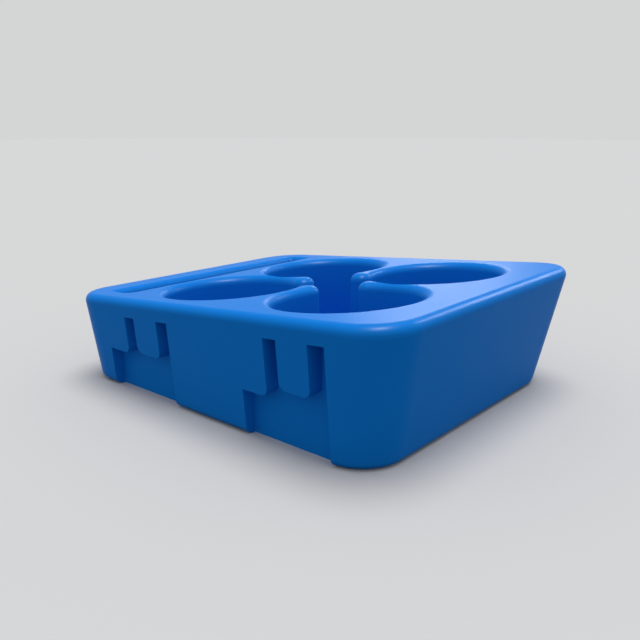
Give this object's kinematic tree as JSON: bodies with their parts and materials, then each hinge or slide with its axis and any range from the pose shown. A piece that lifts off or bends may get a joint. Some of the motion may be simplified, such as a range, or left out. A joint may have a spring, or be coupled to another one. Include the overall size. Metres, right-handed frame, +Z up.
{
  "type": "plastic cup carrier",
  "caption": "Blue block cup carrier with round wells that open into one another, a long slot beside them and stepped notches in the front face.",
  "frame": {"origin": "middle of the footprint, on the flat base", "axes": "+X along the notched front face towards the higher end, +Y from the front face to the back, +Z up"},
  "size_m": [0.2782, 0.2277, 0.0829],
  "materials": {
    "blue_plastic": "satin"
  },
  "bodies": {
    "root": {"carrier_body": "blue_plastic"}
  },
  "joints": []
}
